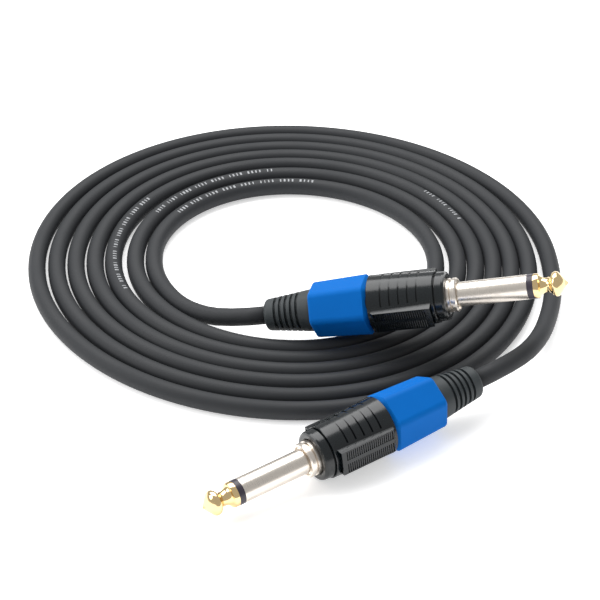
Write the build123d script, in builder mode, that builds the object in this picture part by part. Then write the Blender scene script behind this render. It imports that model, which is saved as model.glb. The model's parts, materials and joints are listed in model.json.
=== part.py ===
"""Instrument cable: a coiled two-core lead with the same straight 6.35 mm jack plug on each end.

Millimetres, +Z up, standing on z = 0 with the origin under the middle of the two plugs' box.
Each plug piece is drawn once in the plug's own frame, where Z runs along the plug towards its
tip, the tip's point is at z = 0 and a station is the distance back from that point. A placed
copy of every piece is then written for the rear plug and for the front plug.
"""

import os
from math import cos, floor, hypot, pi, radians, sin, tan

from build123d import *

os.makedirs("parts", exist_ok=True)

# ---- cable ----
CABLE_DIAMETER = 4.8
CABLE_RADIUS = CABLE_DIAMETER / 2
JACKET_WALL = 0.8
SHIELD_WALL = 0.3
BRAID_RADIUS = CABLE_RADIUS - JACKET_WALL  # outside of the woven shield
CORE_RADIUS = BRAID_RADIUS - SHIELD_WALL  # outside of the core's insulation
CONDUCTOR_RADIUS = 0.45

# ---- coil: distances of each pass from the coil's centre, innermost pass first ----
COIL_CENTRE = (-24.35, 71.65)
LEFT_PASSES = (38.7, 43.8, 49.9, 55.0, 60.3, 65.6, 71.1)
BACK_PASSES = (39.1, 45.3, 51.1, 56.0, 60.85, 65.7, 70.6)
RIGHT_PASSES = (39.6, 45.7, 50.6, 55.45, 60.3, 65.15, 71.2)
FRONT_PASSES = (43.6, 48.6, 53.8, 58.8, 64.7, 70.4)
COIL_LEAN = 0.015  # share by which the coil is narrower from front left to back right
COIL_START = 0.045  # quarter turns clockwise from the left, where the innermost pass begins
COIL_END = 26.0  # where the outermost pass leaves for the front plug
COIL_TOP_CHAMFER = 0.29 * CABLE_DIAMETER
OUTLINE_STEPS = 8  # outline points in a quarter turn

# ---- free runs of the cable, from the boot to the coil ----
REAR_LEAD_ROUTE = (
    (-42.25, 38.55, 4.6),
    (-52.5, 46.2, CABLE_RADIUS),
    (-58.45, 54.2, CABLE_RADIUS),
    (-62.3, 64.3, CABLE_RADIUS),
)
FRONT_LEAD_ROUTE = (
    (32.2, 12.2, 10.0),
    (39.3, 25.0, 7.6),
    (43.65, 40.65, 4.2),
    (46.55, 56.05, CABLE_RADIUS),
)
CORNER_SHARE = 0.45  # share of the shorter run that a corner's arc may use
LEAD_OVERRUN = 0.5  # drawn past the coil's end face, then trimmed to it

# ---- contact pin ----
PIN_RADIUS = 3.175
BALL_STATION = 3.3
WAIST_STATION = 5.8
WAIST_DEPTH = 1.325
LIP_STATION = 7.8
TIP_LENGTH = 8.7
RING_LENGTH = 1.6
ROD_RADIUS = 1.1
TUBE_RADIUS = 1.75
RING_BACK = TIP_LENGTH + RING_LENGTH

# ---- neck ring, between the sleeve and the housing ----
NECK_FRONT = 28.4  # reach of the pin, from its point
NECK_WALL = 1.225
NECK_RADIUS = PIN_RADIUS + NECK_WALL
NECK_REACH = 2.6  # how far the ring stands out of the housing
NECK_FLANGE_STEP = 1.0
NECK_FLANGE_RADIUS = NECK_RADIUS + NECK_FLANGE_STEP
NECK_FLANGE_LENGTH = 1.8
NECK_GROOVE = 0.5

# ---- housing ----
HOUSING_LENGTH = 20.0
HOUSING_FRONT = NECK_FRONT + NECK_REACH
HOUSING_BACK = HOUSING_FRONT + HOUSING_LENGTH
FRONT_WALL = 2.0
MOUTH_CLEARANCE = 0.1
COLLAR_WALL = 1.9
COLLAR_RADIUS = NECK_RADIUS + COLLAR_WALL
COLLAR_LENGTH = 2.3
COLLAR_GROOVE = 0.5
CAVITY_CLEARANCE = 0.1
CAVITY_RADIUS = NECK_FLANGE_RADIUS + CAVITY_CLEARANCE
SPIGOT_WALL = 0.8
SPIGOT_RADIUS = CAVITY_RADIUS + SPIGOT_WALL
SHOULDER = 1.2  # step from the spigot out to the barrel
BARREL_TAPER = 0.75
BARREL_BACK_RADIUS = SPIGOT_RADIUS + SHOULDER
BARREL_FRONT_RADIUS = BARREL_BACK_RADIUS - BARREL_TAPER
THREAD_PITCH = 1.0
THREAD_DEPTH = 0.25
NUT_TRAVEL = 4.0  # unscrewed until the chuck lets go of the cable
THREAD_HOLD = 2.5  # thread still engaged at that point
SPIGOT_LENGTH = NUT_TRAVEL + THREAD_HOLD

# ---- thumb pads, left and right on the barrel ----
PAD_HEIGHT = 0.5
PAD_REACH = BARREL_BACK_RADIUS + PAD_HEIGHT  # flat face, from the plug's axis
PAD_FACE_HALF = 3.1
PAD_DRAFT = 0.35
PAD_ROOT_RADIUS = CAVITY_RADIUS + 0.6  # where a pad ends inside the barrel's wall
PAD_FRONT = HOUSING_FRONT + 3.6
PAD_BACK = HOUSING_BACK - 0.8
PAD_LENGTH = PAD_BACK - PAD_FRONT
PAD_BACK_CHAMFER = 0.5
POCKET_DEPTH = 1.0  # hollow in a pad's front end
POCKET_WALL = 0.35
STRIP_DEPTH = 0.3  # two sunk strips along each pad, where its cross ribs stand
STRIP_INNER = 0.5
STRIP_OUTER = 2.85
STRIP_FRONT = PAD_FRONT + POCKET_DEPTH + 0.3
STRIP_BACK = PAD_BACK - 0.7

# ---- slots across the top and the underside of the barrel ----
SLOT_COUNT = 5
SLOT_FIRST = HOUSING_FRONT + 6.9
SLOT_LAST = HOUSING_BACK - 3.66
SLOT_PITCH = (SLOT_LAST - SLOT_FIRST) / (SLOT_COUNT - 1)
SLOT_WIDTH = 0.45
SLOT_DEPTH = 0.75
SLOT_FADE_ANGLE = 84.0  # from the pads' plane, where a slot has run out to nothing
SLOT_END = PAD_FACE_HALF + 0.6  # height of a slot's deep end above the pads' plane

# ---- hidden rear part of the sleeve: a thinner shank in the neck ring, with a riveted end ----
SHANK_FRONT = NECK_FRONT - 0.2
SHANK_RADIUS = PIN_RADIUS - 0.2
SLEEVE_BACK = HOUSING_FRONT + FRONT_WALL + NECK_FLANGE_LENGTH
SPUR_WALL = 0.85
SPUR_RADIUS = TUBE_RADIUS + SPUR_WALL
SPUR_LENGTH = 2.0

# ---- chuck that the nut squeezes on the cable ----
CHUCK_FRONT = HOUSING_BACK
CHUCK_LENGTH = 8.4
CHUCK_BACK = CHUCK_FRONT + CHUCK_LENGTH
CHUCK_CLEARANCE = 0.15
CHUCK_GRIP_CLEARANCE = 0.05
CHUCK_SLOTS = 2
CHUCK_SLOT_WIDTH = 0.9

# ---- lugs and washers behind the sleeve ----
SHEET = 0.5
GROUND_WASHER_RADIUS = NECK_FLANGE_RADIUS - 1.1
GROUND_STRIP_WIDTH = 2.6
WASHER_RADIUS = 3.0
WASHER_LENGTH = 1.0
TIP_LUG_RADIUS = 2.0
TIP_LUG_WIDTH = 2.4
JACKET_FRONT = CHUCK_FRONT - 5.0
SHIELD_FRONT = JACKET_FRONT - 0.4
CORE_FRONT = JACKET_FRONT - 1.6
CRIMP_FRONT = JACKET_FRONT + 1.6
CRIMP_LENGTH = 2.6
CRIMP_HALF_ANGLE = 125.0
CRIMP_TOE = CRIMP_FRONT + CRIMP_LENGTH + 0.2
STRIP_BEND_FRONT = JACKET_FRONT - 2.0
STRIP_BEND_BACK = JACKET_FRONT + 1.2
TIP_LUG_BACK = CORE_FRONT - 1.3
SOLDER_STATION = TIP_LUG_BACK - 0.7
SOLDER_RADIUS = 1.15
TAIL_RADIUS = 0.38
TAIL_SOLDER_RADIUS = 0.8

# ---- bend-relief boot, in the nut ----
BOOT_FRONT_RADIUS = 5.55
BOOT_BACK_RADIUS = 4.1
BOOT_BORE_CLEARANCE = 0.3
BOOT_FLANGE = 2.0
BOOT_FLANGE_STEP = 0.4
BOOT_CLEARANCE = 0.1
BOOT_FLANGE_FRONT = CHUCK_BACK + BOOT_CLEARANCE
BOOT_END_FILLET = 1.0
CABLE_EXIT_INSET = 1.0  # the free run starts this far inside the boot

# ---- collar nut ----
NUT_LENGTH = 15.7
NUT_GAP = 0.3
NUT_FRONT = HOUSING_BACK + NUT_GAP
NUT_BACK = NUT_FRONT + NUT_LENGTH
NUT_THREAD_CLEARANCE = 0.15
NUT_FRONT_WALL = 0.65  # thinnest, in the middle of a flat
NUT_BACK_WALL = 0.85
THREAD_BORE = SPIGOT_RADIUS + NUT_THREAD_CLEARANCE
POCKET_BORE = BOOT_FRONT_RADIUS + BOOT_FLANGE_STEP + BOOT_CLEARANCE
LIP_BORE = BOOT_FRONT_RADIUS + BOOT_CLEARANCE
LIP_FRONT = BOOT_FLANGE_FRONT + BOOT_FLANGE + BOOT_CLEARANCE
NUT_FRONT_CORNER = (THREAD_BORE + NUT_FRONT_WALL) / cos(pi / 6)
NUT_BACK_CORNER = (LIP_BORE + NUT_BACK_WALL) / cos(pi / 6)
NUT_EDGE_FILLET = 2.0
NUT_FRONT_CHAMFER = 0.9
NUT_BACK_FILLET = 0.8

# ---- part of the boot behind the nut ----
BOOT_REACH = 13.0
BOOT_BACK = NUT_BACK + BOOT_REACH
BOOT_TAPER_START = NUT_BACK + 0.6
BOOT_GROOVES = 5
BOOT_GROOVE_FIRST = NUT_BACK + 3.6
BOOT_GROOVE_LAST = BOOT_BACK - 3.2
BOOT_GROOVE_PITCH = (BOOT_GROOVE_LAST - BOOT_GROOVE_FIRST) / (BOOT_GROOVES - 1)
BOOT_GROOVE_WIDTH = 0.75
BOOT_GROOVE_DEPTH = 0.85
CABLE_START = BOOT_BACK - CABLE_EXIT_INSET

# ---- where the plugs lie: rear end of the boot, heading and climb of the axis, roll ----
REAR_NUT_OVER_COIL = 5.4  # the rear nut's round reaches this far down past the boot end's centre
REAR_PLUG_END = (-30.85, 36.35, CABLE_DIAMETER + NUT_FRONT_CORNER - REAR_NUT_OVER_COIL)
REAR_PLUG_HEADING = -11.0
REAR_PLUG_CLIMB = 14.5
REAR_PLUG_ROLL = -8.0
REAR_NUT_ROLL = -13.0
FRONT_NUT_LIFT = 1.1
FRONT_PLUG_END = (21.15, 4.75, NUT_FRONT_CORNER + FRONT_NUT_LIFT)
FRONT_PLUG_HEADING = 213.9
FRONT_PLUG_CLIMB = -3.0
FRONT_PLUG_ROLL = -7.5
FRONT_NUT_ROLL = 21.5


def station_plane(station):
    """Cross-section plane of the plug at a station, facing the tip."""
    return Plane.XY.offset(-station)


def taper_radius(station, front, back, front_radius, back_radius):
    """Radius of a straight taper at a station between its two ends."""
    return front_radius + (back_radius - front_radius) * (station - front) / (back - front)


def outline(points):
    """Straight-sided closed profile through (radius, station) points, for revolving about the plug axis."""
    corners = [(radius, -station) for radius, station in points]
    return Polyline(*corners, close=True)


# ============================== contact pin ==============================

with BuildPart() as contact_tip:
    with BuildSketch(Plane.XZ):
        with BuildLine():
            ball_foot = (PIN_RADIUS - 0.35, -BALL_STATION + 1.0)
            ball_heel = (PIN_RADIUS - 0.45, -BALL_STATION - 0.8)
            waist = (PIN_RADIUS - WAIST_DEPTH, -WAIST_STATION)
            lip_toe = (PIN_RADIUS - 0.25, -LIP_STATION + 0.45)
            lip_crown = (PIN_RADIUS, -LIP_STATION)
            Line((0, 0), ball_foot)
            ThreePointArc(ball_foot, (PIN_RADIUS, -BALL_STATION), ball_heel)
            ThreePointArc(ball_heel, waist, lip_toe)
            Line(lip_toe, lip_crown)
            rod_back = SLEEVE_BACK + SPUR_LENGTH + WASHER_LENGTH + SHEET + 0.6
            Polyline(
                lip_crown,
                (PIN_RADIUS, -TIP_LENGTH),
                (ROD_RADIUS, -TIP_LENGTH),
                (ROD_RADIUS, -rod_back),
                (0, -rod_back),
                (0, 0),
            )
        make_face()
    revolve(axis=Axis.Z)

with BuildPart() as insulator_ring:
    with BuildSketch(station_plane(RING_BACK)):
        Circle(PIN_RADIUS)
        Circle(TUBE_RADIUS, mode=Mode.SUBTRACT)
    extrude(amount=RING_LENGTH)

with BuildPart() as inner_tube:
    tube_back = SLEEVE_BACK + SPUR_LENGTH
    with BuildSketch(station_plane(tube_back)):
        Circle(TUBE_RADIUS)
        Circle(ROD_RADIUS, mode=Mode.SUBTRACT)
    extrude(amount=tube_back - TIP_LENGTH)

with BuildPart() as contact_sleeve:
    with BuildSketch(station_plane(SHANK_FRONT)):
        Circle(PIN_RADIUS)
        Circle(TUBE_RADIUS, mode=Mode.SUBTRACT)
    extrude(amount=SHANK_FRONT - RING_BACK)
    with BuildSketch(station_plane(SLEEVE_BACK)):
        Circle(SHANK_RADIUS)
        Circle(TUBE_RADIUS, mode=Mode.SUBTRACT)
    extrude(amount=SLEEVE_BACK - SHANK_FRONT)
    with BuildSketch(station_plane(SLEEVE_BACK + SPUR_LENGTH)):
        Circle(SPUR_RADIUS)
        Circle(TUBE_RADIUS, mode=Mode.SUBTRACT)
    extrude(amount=SPUR_LENGTH)

with BuildPart() as neck_ring:
    flange_front = HOUSING_FRONT + FRONT_WALL
    groove_front = NECK_FRONT + 1.0
    with BuildSketch(Plane.XZ):
        with BuildLine():
            outline(
                [
                    (SHANK_RADIUS, NECK_FRONT + 0.5),
                    (PIN_RADIUS + 0.35, NECK_FRONT + 0.5),
                    (PIN_RADIUS + 0.55, NECK_FRONT),
                    (NECK_RADIUS - 0.3, NECK_FRONT),
                    (NECK_RADIUS, NECK_FRONT + 0.3),
                    (NECK_RADIUS, groove_front),
                    (NECK_RADIUS - NECK_GROOVE, groove_front + 0.15),
                    (NECK_RADIUS - NECK_GROOVE, groove_front + 0.6),
                    (NECK_RADIUS, groove_front + 0.75),
                    (NECK_RADIUS, flange_front),
                    (NECK_FLANGE_RADIUS, flange_front),
                    (NECK_FLANGE_RADIUS, SLEEVE_BACK),
                    (SHANK_RADIUS, SLEEVE_BACK),
                ]
            )
        make_face()
    revolve(axis=Axis.Z)

# ============================== lugs, washer and solder ==============================

GROUND_BACK = SLEEVE_BACK + SHEET
WASHER_FRONT = SLEEVE_BACK + SPUR_LENGTH
LUG_FRONT = WASHER_FRONT + WASHER_LENGTH

with BuildPart() as ground_lug:
    with BuildSketch(station_plane(GROUND_BACK)):
        Circle(GROUND_WASHER_RADIUS)
        Circle(SPUR_RADIUS, mode=Mode.SUBTRACT)
    extrude(amount=SHEET)
    inner_face = -GROUND_WASHER_RADIUS + SHEET
    with BuildSketch(Plane.XZ):
        with BuildLine():
            outline(
                [
                    (-GROUND_WASHER_RADIUS, SLEEVE_BACK + 0.05),
                    (inner_face, SLEEVE_BACK + 0.05),
                    (inner_face, STRIP_BEND_FRONT),
                    (-CABLE_RADIUS, STRIP_BEND_BACK),
                    (-CABLE_RADIUS, CRIMP_TOE),
                    (-CABLE_RADIUS - SHEET, CRIMP_TOE),
                    (-CABLE_RADIUS - SHEET, STRIP_BEND_BACK),
                    (-GROUND_WASHER_RADIUS, STRIP_BEND_FRONT),
                ]
            )
        make_face()
    extrude(amount=GROUND_STRIP_WIDTH / 2, both=True)
    with BuildSketch(Plane.XZ):
        with Locations((-CABLE_RADIUS - SHEET / 2, -CRIMP_FRONT - CRIMP_LENGTH / 2)):
            Rectangle(SHEET, CRIMP_LENGTH)
    revolve(axis=Axis.Z, revolution_arc=CRIMP_HALF_ANGLE)
    with BuildSketch(Plane.XZ):
        with Locations((-CABLE_RADIUS - SHEET / 2, -CRIMP_FRONT - CRIMP_LENGTH / 2)):
            Rectangle(SHEET, CRIMP_LENGTH)
    revolve(axis=Axis.Z, revolution_arc=-CRIMP_HALF_ANGLE)

with BuildPart() as rear_washer:
    with BuildSketch(station_plane(LUG_FRONT)):
        Circle(WASHER_RADIUS)
        Circle(ROD_RADIUS, mode=Mode.SUBTRACT)
    extrude(amount=WASHER_LENGTH)

with BuildPart() as tip_lug:
    with BuildSketch(station_plane(LUG_FRONT + SHEET)):
        Circle(TIP_LUG_RADIUS)
        Circle(ROD_RADIUS, mode=Mode.SUBTRACT)
    extrude(amount=SHEET)
    with BuildSketch(Plane.YZ):
        with BuildLine():
            tab_face = -CONDUCTOR_RADIUS
            foot = -TIP_LUG_RADIUS + SHEET
            Polyline(
                (foot, -LUG_FRONT - 0.05),
                (foot, -LUG_FRONT - 1.4),
                (tab_face, -LUG_FRONT - 2.6),
                (tab_face, -TIP_LUG_BACK),
                (tab_face - SHEET, -TIP_LUG_BACK),
                (tab_face - SHEET, -LUG_FRONT - 2.6),
                (foot - SHEET + 0.1, -LUG_FRONT - 1.4),
                (foot - SHEET + 0.1, -LUG_FRONT - 0.05),
                close=True,
            )
        make_face()
    extrude(amount=TIP_LUG_WIDTH / 2, both=True)

with BuildPart() as core_conductor:
    with BuildSketch(station_plane(CABLE_START)):
        Circle(CONDUCTOR_RADIUS)
    extrude(amount=CABLE_START - SOLDER_STATION + 1.0)

with BuildPart() as core_insulation:
    with BuildSketch(station_plane(CABLE_START)):
        Circle(CORE_RADIUS)
        Circle(CONDUCTOR_RADIUS, mode=Mode.SUBTRACT)
    extrude(amount=CABLE_START - CORE_FRONT)

with BuildPart() as woven_shield:
    with BuildSketch(station_plane(CABLE_START)):
        Circle(BRAID_RADIUS)
        Circle(CORE_RADIUS, mode=Mode.SUBTRACT)
    extrude(amount=CABLE_START - SHIELD_FRONT)

with BuildPart() as jacket_end:
    with BuildSketch(station_plane(CABLE_START)):
        Circle(CABLE_RADIUS)
        Circle(BRAID_RADIUS, mode=Mode.SUBTRACT)
    extrude(amount=CABLE_START - JACKET_FRONT)

tail_start = Vector(-BRAID_RADIUS - TAIL_RADIUS - 0.05, 0, -JACKET_FRONT + 0.15)
tail_finish = Vector(inner_face + TAIL_RADIUS + 0.05, 0, -SOLDER_STATION)
tail_run = tail_finish - tail_start
with BuildPart() as shield_tail:
    with BuildSketch(Plane(origin=tail_start, z_dir=tail_run)):
        Circle(TAIL_RADIUS)
    extrude(amount=tail_run.length)

with BuildPart() as tip_solder:
    with Locations((0, -CONDUCTOR_RADIUS, -SOLDER_STATION)):
        Sphere(SOLDER_RADIUS)
    split(bisect_by=Plane.XZ.offset(CONDUCTOR_RADIUS), keep=Keep.BOTTOM)
    with Locations((0, 0, -SOLDER_STATION)):
        Cylinder(CONDUCTOR_RADIUS, 4 * SOLDER_RADIUS, mode=Mode.SUBTRACT)

with BuildPart() as shield_solder:
    with Locations((inner_face, 0, -SOLDER_STATION)):
        Sphere(TAIL_SOLDER_RADIUS)
    split(bisect_by=Plane.YZ.offset(inner_face), keep=Keep.TOP)
    add(shield_tail.part, mode=Mode.SUBTRACT)

# ============================== housing ==============================


def pad_outline(side, inset):
    """Cross-section of a thumb pad, drawn smaller by an inset, down to the middle of the barrel."""
    return Polyline(
        (0, -PAD_FACE_HALF - PAD_DRAFT + inset),
        (side * (PAD_REACH - inset), -PAD_FACE_HALF + inset),
        (side * (PAD_REACH - inset), PAD_FACE_HALF - inset),
        (0, PAD_FACE_HALF + PAD_DRAFT - inset),
        close=True,
    )


with BuildPart() as thumb_pads:
    strip_middle = (STRIP_INNER + STRIP_OUTER) / 2
    for side in (1, -1):
        with BuildSketch(station_plane(PAD_BACK)):
            with BuildLine():
                pad_outline(side, 0)
            make_face()
            Circle(PAD_ROOT_RADIUS, mode=Mode.SUBTRACT)
        extrude(amount=PAD_LENGTH)
        back_edges = edges().group_by(Axis.Z)[0].filter_by(Axis.Y)
        chamfer(back_edges.sort_by(Axis.X)[-1 if side > 0 else 0], PAD_BACK_CHAMFER)
        with BuildSketch(station_plane(PAD_FRONT + POCKET_DEPTH)):
            with BuildLine():
                pad_outline(side, POCKET_WALL)
            make_face()
            Circle(BARREL_FRONT_RADIUS, mode=Mode.SUBTRACT)
        extrude(amount=POCKET_DEPTH, mode=Mode.SUBTRACT)
        for above in (1, -1):
            with Locations(
                (side * PAD_REACH, above * strip_middle, -(STRIP_FRONT + STRIP_BACK) / 2)
            ):
                Box(
                    2 * STRIP_DEPTH,
                    STRIP_OUTER - STRIP_INNER,
                    STRIP_BACK - STRIP_FRONT,
                    mode=Mode.SUBTRACT,
                )

with BuildPart() as housing:
    mouth_radius = NECK_RADIUS + MOUTH_CLEARANCE
    wall_back = HOUSING_FRONT + FRONT_WALL
    groove_front = HOUSING_FRONT + COLLAR_LENGTH
    groove_back = groove_front + COLLAR_GROOVE
    spigot_back = HOUSING_BACK + SPIGOT_LENGTH
    with BuildSketch(Plane.XZ):
        with BuildLine():
            outline(
                [
                    (mouth_radius, HOUSING_FRONT + 0.3),
                    (mouth_radius + 0.3, HOUSING_FRONT),
                    (COLLAR_RADIUS - 0.7, HOUSING_FRONT),
                    (COLLAR_RADIUS - 0.2, HOUSING_FRONT + 0.2),
                    (COLLAR_RADIUS, HOUSING_FRONT + 0.7),
                    (COLLAR_RADIUS + 0.1, groove_front),
                    (COLLAR_RADIUS - COLLAR_GROOVE, groove_front + 0.05),
                    (COLLAR_RADIUS - COLLAR_GROOVE, groove_back),
                    (BARREL_FRONT_RADIUS - 0.15, groove_back),
                    (BARREL_FRONT_RADIUS, groove_back + 0.15),
                    (BARREL_BACK_RADIUS, HOUSING_BACK),
                    (SPIGOT_RADIUS, HOUSING_BACK),
                    (SPIGOT_RADIUS, spigot_back - 0.3),
                    (SPIGOT_RADIUS - 0.3, spigot_back),
                    (CAVITY_RADIUS, spigot_back),
                    (CAVITY_RADIUS, wall_back),
                    (mouth_radius, wall_back),
                ]
            )
        make_face()
    revolve(axis=Axis.Z)
    add(thumb_pads.part)
    # slots that are deep beside the pads and run out to nothing over the top and underneath
    for number in range(SLOT_COUNT):
        slot_station = SLOT_FIRST + number * SLOT_PITCH
        barrel = taper_radius(
            slot_station, groove_back, HOUSING_BACK, BARREL_FRONT_RADIUS, BARREL_BACK_RADIUS
        )
        floor_radius = barrel + SLOT_DEPTH * cos(radians(SLOT_FADE_ANGLE))
        for side in (1, -1):
            with BuildSketch(station_plane(slot_station + SLOT_WIDTH / 2)):
                for above in (1, -1):
                    with Locations((side * barrel / 2, above * (SLOT_END + barrel) / 2)):
                        Rectangle(barrel, barrel - SLOT_END)
                with Locations((-side * SLOT_DEPTH, 0)):
                    Circle(floor_radius, mode=Mode.SUBTRACT)
            extrude(amount=SLOT_WIDTH, mode=Mode.SUBTRACT)
    # thread on the spigot, drawn as rings one pitch apart
    thread_count = floor(SPIGOT_LENGTH / THREAD_PITCH) - 1
    for number in range(thread_count):
        ring_station = HOUSING_BACK + (number + 1) * THREAD_PITCH
        with BuildSketch(Plane.XZ):
            with BuildLine():
                outline(
                    [
                        (SPIGOT_RADIUS - THREAD_DEPTH, ring_station),
                        (SPIGOT_RADIUS + 0.1, ring_station - 0.3),
                        (SPIGOT_RADIUS + 0.1, ring_station + 0.3),
                    ]
                )
            make_face()
        revolve(axis=Axis.Z, mode=Mode.SUBTRACT)

# ============================== chuck, nut and boot ==============================

with BuildPart() as chuck:
    chuck_radius = CAVITY_RADIUS - CHUCK_CLEARANCE
    grip_radius = CABLE_RADIUS + CHUCK_GRIP_CLEARANCE
    with BuildSketch(Plane.XZ):
        with BuildLine():
            outline(
                [
                    (grip_radius, CHUCK_FRONT),
                    (chuck_radius - 0.3, CHUCK_FRONT),
                    (chuck_radius, CHUCK_FRONT + 0.3),
                    (chuck_radius, CHUCK_BACK - 1.5),
                    (chuck_radius - 1.2, CHUCK_BACK),
                    (grip_radius, CHUCK_BACK),
                ]
            )
        make_face()
    revolve(axis=Axis.Z)
    slot_length = CHUCK_BACK - CHUCK_FRONT - 2.0
    with Locations((0, 0, -CHUCK_BACK + slot_length / 2)):
        with PolarLocations(0, CHUCK_SLOTS, angular_range=180):
            Box(4 * chuck_radius, CHUCK_SLOT_WIDTH, slot_length, mode=Mode.SUBTRACT)

with BuildPart() as collar_nut:
    with BuildSketch(station_plane(NUT_BACK)):
        RegularPolygon(NUT_BACK_CORNER, 6)
        fillet(vertices(), NUT_EDGE_FILLET)
    with BuildSketch(station_plane(NUT_FRONT)):
        RegularPolygon(NUT_FRONT_CORNER, 6)
        fillet(vertices(), NUT_EDGE_FILLET)
    loft()
    chamfer(faces().sort_by(Axis.Z)[-1].edges(), NUT_FRONT_CHAMFER)
    fillet(faces().sort_by(Axis.Z)[0].edges(), NUT_BACK_FILLET)
    with BuildSketch(Plane.XZ):
        with BuildLine():
            outline(
                [
                    (0, NUT_FRONT - 1.0),
                    (THREAD_BORE, NUT_FRONT - 1.0),
                    (THREAD_BORE, CHUCK_BACK - 0.4),
                    (POCKET_BORE, CHUCK_BACK - 0.2),
                    (POCKET_BORE, LIP_FRONT),
                    (LIP_BORE, LIP_FRONT),
                    (LIP_BORE, NUT_BACK + 1.0),
                    (0, NUT_BACK + 1.0),
                ]
            )
        make_face()
    revolve(axis=Axis.Z, mode=Mode.SUBTRACT)

with BuildPart() as boot:
    flange_radius = BOOT_FRONT_RADIUS + BOOT_FLANGE_STEP
    bore_radius = CABLE_RADIUS + BOOT_BORE_CLEARANCE
    flange_back = BOOT_FLANGE_FRONT + BOOT_FLANGE
    with BuildSketch(Plane.XZ):
        with BuildLine():
            outline(
                [
                    (bore_radius, BOOT_FLANGE_FRONT),
                    (flange_radius, BOOT_FLANGE_FRONT),
                    (flange_radius, flange_back),
                    (BOOT_FRONT_RADIUS, flange_back),
                    (BOOT_FRONT_RADIUS, BOOT_TAPER_START),
                    (BOOT_BACK_RADIUS, BOOT_BACK),
                    (bore_radius, BOOT_BACK),
                ]
            )
        make_face()
    revolve(axis=Axis.Z)
    end_rim = faces().sort_by(Axis.Z)[0].edges().sort_by(SortBy.LENGTH)[-1]
    fillet(end_rim, BOOT_END_FILLET)
    for number in range(BOOT_GROOVES):
        groove_station = BOOT_GROOVE_FIRST + number * BOOT_GROOVE_PITCH
        surface = taper_radius(
            groove_station, BOOT_TAPER_START, BOOT_BACK, BOOT_FRONT_RADIUS, BOOT_BACK_RADIUS
        )
        with BuildSketch(Plane.XZ):
            with Locations((surface, -groove_station)):
                Rectangle(2 * BOOT_GROOVE_DEPTH, BOOT_GROOVE_WIDTH)
        revolve(axis=Axis.Z, mode=Mode.SUBTRACT)

# ============================== placed copies of the two plugs ==============================

PIECES = {
    "contact_tip": contact_tip,
    "insulator_ring": insulator_ring,
    "inner_tube": inner_tube,
    "contact_sleeve": contact_sleeve,
    "neck_ring": neck_ring,
    "ground_lug": ground_lug,
    "rear_washer": rear_washer,
    "tip_lug": tip_lug,
    "core_conductor": core_conductor,
    "core_insulation": core_insulation,
    "woven_shield": woven_shield,
    "jacket_end": jacket_end,
    "shield_tail": shield_tail,
    "tip_solder": tip_solder,
    "shield_solder": shield_solder,
    "housing": housing,
    "chuck": chuck,
    "collar_nut": collar_nut,
    "boot": boot,
}


def plug_plane(end, heading, climb, roll):
    """Plane of a plug: origin at the tip's point, Z along the plug, X through a thumb pad."""
    level = cos(radians(climb))
    axis = Vector(
        cos(radians(heading)) * level,
        sin(radians(heading)) * level,
        sin(radians(climb)),
    )
    across = Vector(sin(radians(heading)), -cos(radians(heading)), 0)
    up = across.cross(axis)
    pad_side = across * cos(radians(roll)) + up * sin(radians(roll))
    origin = Vector(*end) + axis * BOOT_BACK
    return Plane(origin=origin, x_dir=pad_side, z_dir=axis)


PLUGS = {
    "rear_plug": (
        plug_plane(REAR_PLUG_END, REAR_PLUG_HEADING, REAR_PLUG_CLIMB, REAR_PLUG_ROLL),
        REAR_NUT_ROLL,
    ),
    "front_plug": (
        plug_plane(FRONT_PLUG_END, FRONT_PLUG_HEADING, FRONT_PLUG_CLIMB, FRONT_PLUG_ROLL),
        FRONT_NUT_ROLL,
    ),
}

plug_solids = []
for plug_name, (plane, nut_roll) in PLUGS.items():
    for piece_name, piece in PIECES.items():
        shape = piece.part
        if piece_name == "collar_nut":
            shape = shape.rotate(Axis.Z, nut_roll)
        with BuildPart() as placed:
            add(shape.moved(plane.location))
        placed.part.label = f"{plug_name}_{piece_name}"
        export_step(placed.part, f"parts/{placed.part.label}.step")
        plug_solids.append(placed.part)

# ============================== coil ==============================


def pass_distance(quarters):
    """Distance of the cable's centre line from the coil's centre, some quarter turns from the start."""
    distances = []
    for number, left in enumerate(LEFT_PASSES):
        distances += [left, BACK_PASSES[number], RIGHT_PASSES[number]]
        if number < len(FRONT_PASSES):
            distances.append(FRONT_PASSES[number])
    before = min(floor(quarters), len(distances) - 2)
    blend = (1 - cos(pi * (quarters - before))) / 2
    return distances[before] * (1 - blend) + distances[before + 1] * blend


def coil_point(quarters, offset=0.0):
    """Point of the coil in plan, clockwise from the left, moved outwards by an offset."""
    angle = pi - quarters * pi / 2
    distance = pass_distance(quarters) * (1 - COIL_LEAN * sin(2 * angle)) + offset
    return (COIL_CENTRE[0] + distance * cos(angle), COIL_CENTRE[1] + distance * sin(angle))


def turn_outline(first_quarter, offset):
    """Points of one whole turn of the coil, offset to one side of the cable."""
    steps = 4 * OUTLINE_STEPS
    return [coil_point(first_quarter + 4 * step / steps, offset) for step in range(steps + 1)]


with BuildPart() as cable_coil:
    with BuildSketch():
        with BuildLine():
            outer_points = turn_outline(COIL_END - 4, CABLE_RADIUS)
            Spline(*outer_points)
            Line(outer_points[-1], outer_points[0])
        make_face()
        with BuildLine():
            inner_points = turn_outline(COIL_START, -CABLE_RADIUS)
            Spline(*inner_points)
            Line(inner_points[-1], inner_points[0])
        make_face(mode=Mode.SUBTRACT)
    extrude(amount=CABLE_DIAMETER)
    chamfer(faces().sort_by(Axis.Z)[-1].edges(), COIL_TOP_CHAMFER)
cable_coil.part.label = "cable_coil"
export_step(cable_coil.part, "parts/cable_coil.step")

# ============================== free runs of the cable ==============================


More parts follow.
